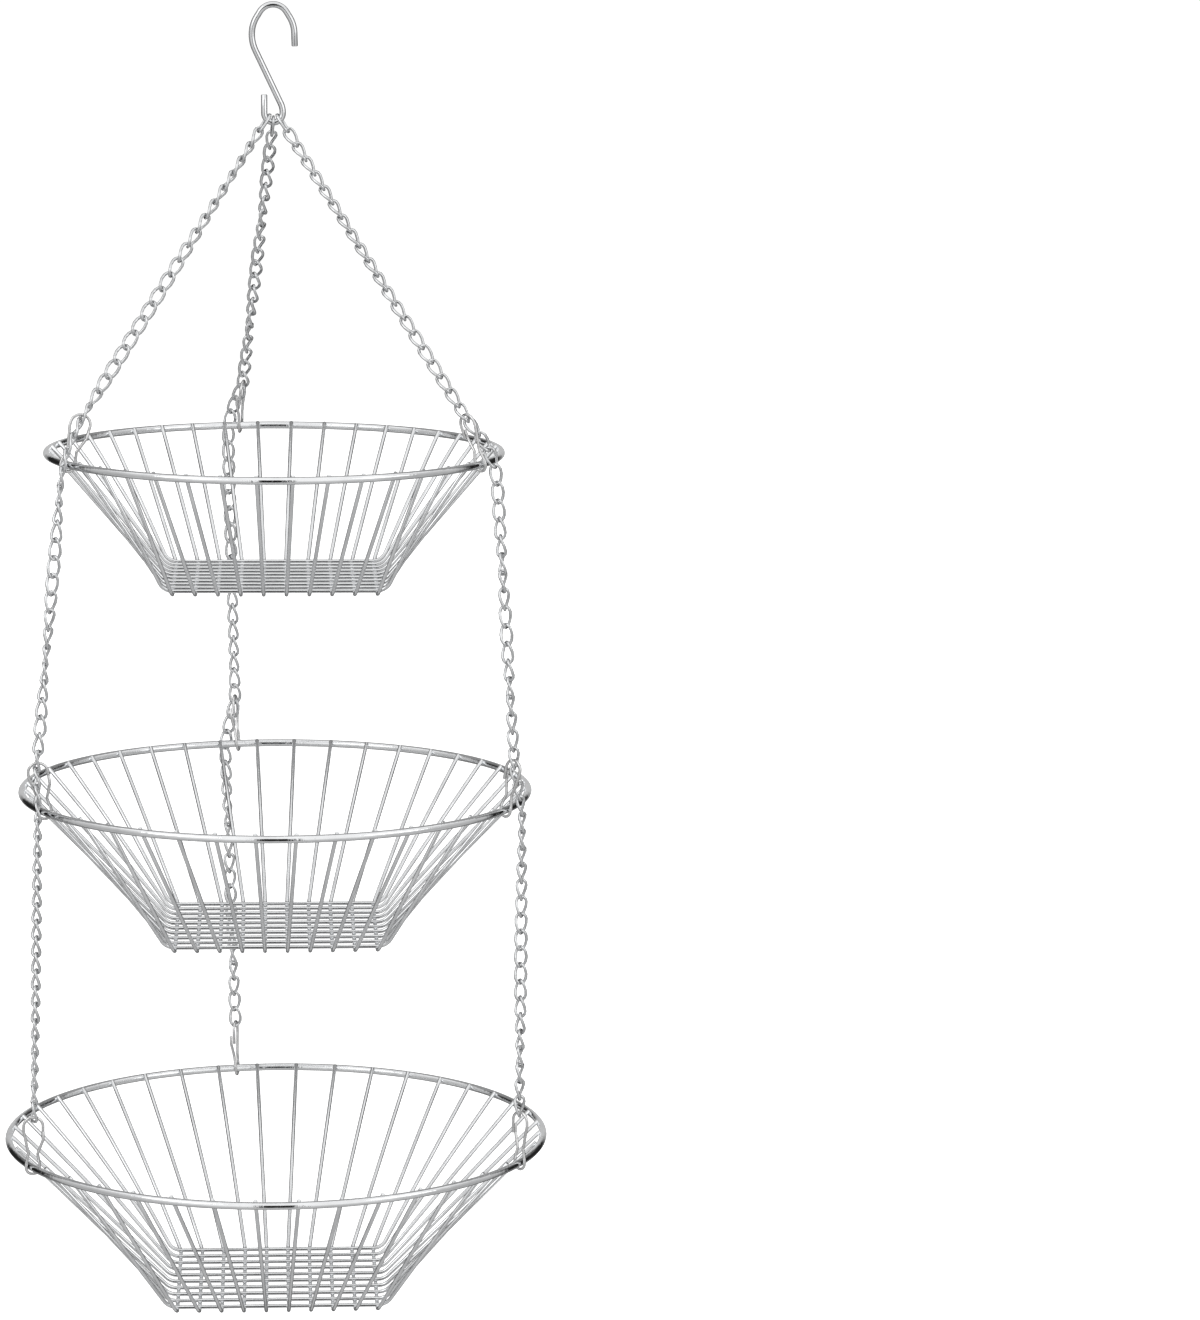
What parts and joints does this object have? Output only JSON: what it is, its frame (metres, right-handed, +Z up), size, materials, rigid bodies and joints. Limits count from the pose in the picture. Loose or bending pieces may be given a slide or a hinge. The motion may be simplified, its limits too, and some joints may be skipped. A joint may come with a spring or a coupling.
{
  "type": "hanging fruit basket",
  "caption": "Hanging fruit basket: round wire baskets of growing size, one above the other, on twisted-link chains that clip to the rims and meet on an S-hook.",
  "frame": {"origin": "inner top of the hook's upper bend, the point that rests on whatever the basket hangs from", "axes": "+Z up along the line the basket hangs on; +X to the right as the picture shows it, in the plane of the hook; -Y towards the viewer, with the single chain at the rear (+Y)"},
  "size_m": [0.3212, 0.3225, 0.7598],
  "materials": {
    "hook": "polished chrome plate",
    "rims": "polished chrome plate",
    "basket_wires": "polished chrome plate",
    "chains": "bright plated links, a little duller than the baskets",
    "clips": "bright plated spring wire"
  },
  "bodies": {
    "hook": {"hook": "hook"},
    "hanger": {"upper_left_chain": "chains", "upper_right_chain": "chains", "upper_rear_chain": "chains"},
    "top_tier": {"top_rim": "rims", "top_crosswise_wires": "basket_wires", "top_lengthwise_wires": "basket_wires", "top_left_clip": "clips", "top_right_clip": "clips", "top_rear_clip": "clips", "middle_left_chain": "chains", "middle_right_chain": "chains", "middle_rear_chain": "chains"},
    "middle_tier": {"middle_rim": "rims", "middle_crosswise_wires": "basket_wires", "middle_lengthwise_wires": "basket_wires", "middle_left_clip": "clips", "middle_right_clip": "clips", "middle_rear_clip": "clips", "lower_left_chain": "chains", "lower_right_chain": "chains", "lower_rear_chain": "chains"},
    "bottom_tier": {"bottom_rim": "rims", "bottom_crosswise_wires": "basket_wires", "bottom_lengthwise_wires": "basket_wires", "bottom_left_clip": "clips", "bottom_right_clip": "clips", "bottom_rear_clip": "clips"}
  },
  "joints": [
    {"name": "hanger_swing", "type": "hinge", "parent": "hook", "child": "hanger", "pos_m": [0, 0, -0.0601], "axis": [0, 1, 0], "range_deg": [-20, 20]},
    {"name": "top_lift", "type": "slide", "parent": "hanger", "child": "top_tier", "axis": [0, 0, 1], "range_m": [0, 0.13], "deforming": ["upper_left_chain", "upper_right_chain", "upper_rear_chain"]},
    {"name": "middle_lift", "type": "slide", "parent": "top_tier", "child": "middle_tier", "axis": [0, 0, 1], "range_m": [0, 0.185], "deforming": ["middle_left_chain", "middle_right_chain", "middle_rear_chain"]},
    {"name": "bottom_lift", "type": "slide", "parent": "middle_tier", "child": "bottom_tier", "axis": [0, 0, 1], "range_m": [0, 0.194], "deforming": ["lower_left_chain", "lower_right_chain", "lower_rear_chain"]}
  ]
}
